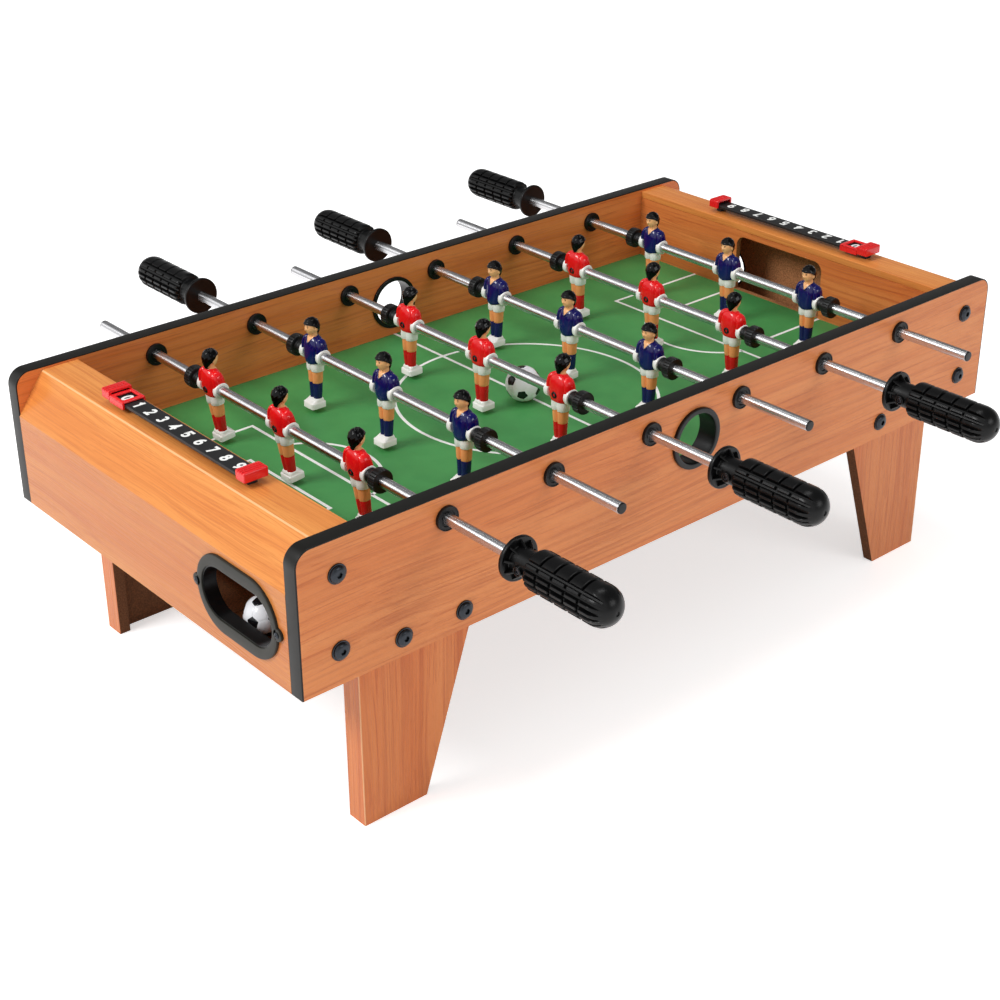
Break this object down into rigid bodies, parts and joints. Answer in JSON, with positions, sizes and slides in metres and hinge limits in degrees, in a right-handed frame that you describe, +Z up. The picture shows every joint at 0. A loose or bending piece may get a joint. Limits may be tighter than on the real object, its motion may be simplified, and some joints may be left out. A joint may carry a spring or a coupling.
{
  "type": "tabletop foosball table",
  "caption": "Tabletop foosball table: a beech-effect cabinet on splayed board legs, with chrome rods of red and blue players that slide and spin, goals, ball returns and sliding score counters.",
  "frame": {"origin": "on the surface that the legs stand on, under the middle of the table", "axes": "+X along the table towards the right end, +Y across it towards the far side, +Z up"},
  "size_m": [0.6924, 0.6654, 0.2451],
  "materials": {
    "wood_laminate": "satin beech-effect laminate on board",
    "wood_top": "satin pale beech-effect laminate on board",
    "raw_board": "raw brown fibreboard",
    "green_field": "printed green sheet with white markings",
    "black_trim": "matte black edge band and trim",
    "black_plastic": "satin black moulded plastic",
    "black_rubber": "black rubber",
    "chrome_tube": "polished chrome-plated steel tube",
    "black_steel": "blackened steel",
    "zinc_steel": "zinc-plated steel",
    "red_team": "gloss red moulded plastic, painted in team colours",
    "blue_team": "gloss blue moulded plastic, painted in team colours",
    "red_plastic": "gloss red moulded plastic",
    "white_ball": "white plastic with black pentagons"
  },
  "bodies": {
    "table": {"near_side_panel": "wood_laminate", "far_side_panel": "wood_laminate", "edge_trims": "black_trim", "left_end_panel": "wood_laminate", "right_end_panel": "wood_laminate", "slope_boards": "wood_top", "top_boards": "wood_top", "goal_walls": "wood_laminate", "playfield_board": "raw_board", "field_sheet": "green_field", "box_floors": "raw_board", "ball_ramps": "raw_board", "corner_blocks": "raw_board", "return_bezels": "black_trim", "bezel_screws": "black_steel", "entry_rings": "black_plastic", "rod_bushings": "black_plastic", "leg_near_left": "wood_laminate", "leg_near_right": "wood_laminate", "leg_far_left": "wood_laminate", "leg_far_right": "wood_laminate", "leg_strips": "raw_board", "side_bolts": "black_steel", "bolt_nuts": "zinc_steel", "score_rails": "black_plastic", "score_brackets": "red_plastic", "return_ball": "white_ball"},
    "rod_1_slide": {"bumpers_1": "black_rubber"},
    "rod_1_turn": {"rod_1": "chrome_tube", "handle_1": "black_plastic", "men_1": "red_team", "rod_fittings_1": "black_steel"},
    "rod_2_slide": {"bumpers_2": "black_rubber"},
    "rod_2_turn": {"rod_2": "chrome_tube", "handle_2": "black_plastic", "men_2": "blue_team", "rod_fittings_2": "black_steel"},
    "rod_3_slide": {"bumpers_3": "black_rubber"},
    "rod_3_turn": {"rod_3": "chrome_tube", "handle_3": "black_plastic", "men_3": "red_team", "rod_fittings_3": "black_steel"},
    "rod_4_slide": {"bumpers_4": "black_rubber"},
    "rod_4_turn": {"rod_4": "chrome_tube", "handle_4": "black_plastic", "men_4": "blue_team", "rod_fittings_4": "black_steel"},
    "rod_5_slide": {"bumpers_5": "black_rubber"},
    "rod_5_turn": {"rod_5": "chrome_tube", "handle_5": "black_plastic", "men_5": "red_team", "rod_fittings_5": "black_steel"},
    "rod_6_slide": {"bumpers_6": "black_rubber"},
    "rod_6_turn": {"rod_6": "chrome_tube", "handle_6": "black_plastic", "men_6": "blue_team", "rod_fittings_6": "black_steel"},
    "left_counter": {"left_score_slider": "red_plastic"},
    "right_counter": {"right_score_slider": "red_plastic"}
  },
  "joints": [
    {"name": "rod_1_push_pull", "type": "slide", "parent": "table", "child": "rod_1_slide", "axis": [0, 1, 0], "range_m": [-0.048, 0.048]},
    {"name": "rod_1_spin", "type": "hinge", "parent": "rod_1_slide", "child": "rod_1_turn", "pos_m": [-0.2275, 0, 0.215], "axis": [0, 1, 0], "continuous": true},
    {"name": "rod_2_push_pull", "type": "slide", "parent": "table", "child": "rod_2_slide", "axis": [0, 1, 0], "range_m": [-0.048, 0.048]},
    {"name": "rod_2_spin", "type": "hinge", "parent": "rod_2_slide", "child": "rod_2_turn", "pos_m": [-0.1365, 0, 0.215], "axis": [0, 1, 0], "continuous": true},
    {"name": "rod_3_push_pull", "type": "slide", "parent": "table", "child": "rod_3_slide", "axis": [0, 1, 0], "range_m": [-0.048, 0.048]},
    {"name": "rod_3_spin", "type": "hinge", "parent": "rod_3_slide", "child": "rod_3_turn", "pos_m": [-0.0455, 0, 0.215], "axis": [0, 1, 0], "continuous": true},
    {"name": "rod_4_push_pull", "type": "slide", "parent": "table", "child": "rod_4_slide", "axis": [0, 1, 0], "range_m": [-0.048, 0.048]},
    {"name": "rod_4_spin", "type": "hinge", "parent": "rod_4_slide", "child": "rod_4_turn", "pos_m": [0.0455, 0, 0.215], "axis": [0, 1, 0], "continuous": true},
    {"name": "rod_5_push_pull", "type": "slide", "parent": "table", "child": "rod_5_slide", "axis": [0, 1, 0], "range_m": [-0.048, 0.048]},
    {"name": "rod_5_spin", "type": "hinge", "parent": "rod_5_slide", "child": "rod_5_turn", "pos_m": [0.1365, 0, 0.215], "axis": [0, 1, 0], "continuous": true},
    {"name": "rod_6_push_pull", "type": "slide", "parent": "table", "child": "rod_6_slide", "axis": [0, 1, 0], "range_m": [-0.048, 0.048]},
    {"name": "rod_6_spin", "type": "hinge", "parent": "rod_6_slide", "child": "rod_6_turn", "pos_m": [0.2275, 0, 0.215], "axis": [0, 1, 0], "continuous": true},
    {"name": "left_score_slide", "type": "slide", "parent": "table", "child": "left_counter", "axis": [0, -1, 0], "range_m": [0, 0.1386]},
    {"name": "right_score_slide", "type": "slide", "parent": "table", "child": "right_counter", "axis": [0, 1, 0], "range_m": [0, 0.1386]}
  ]
}
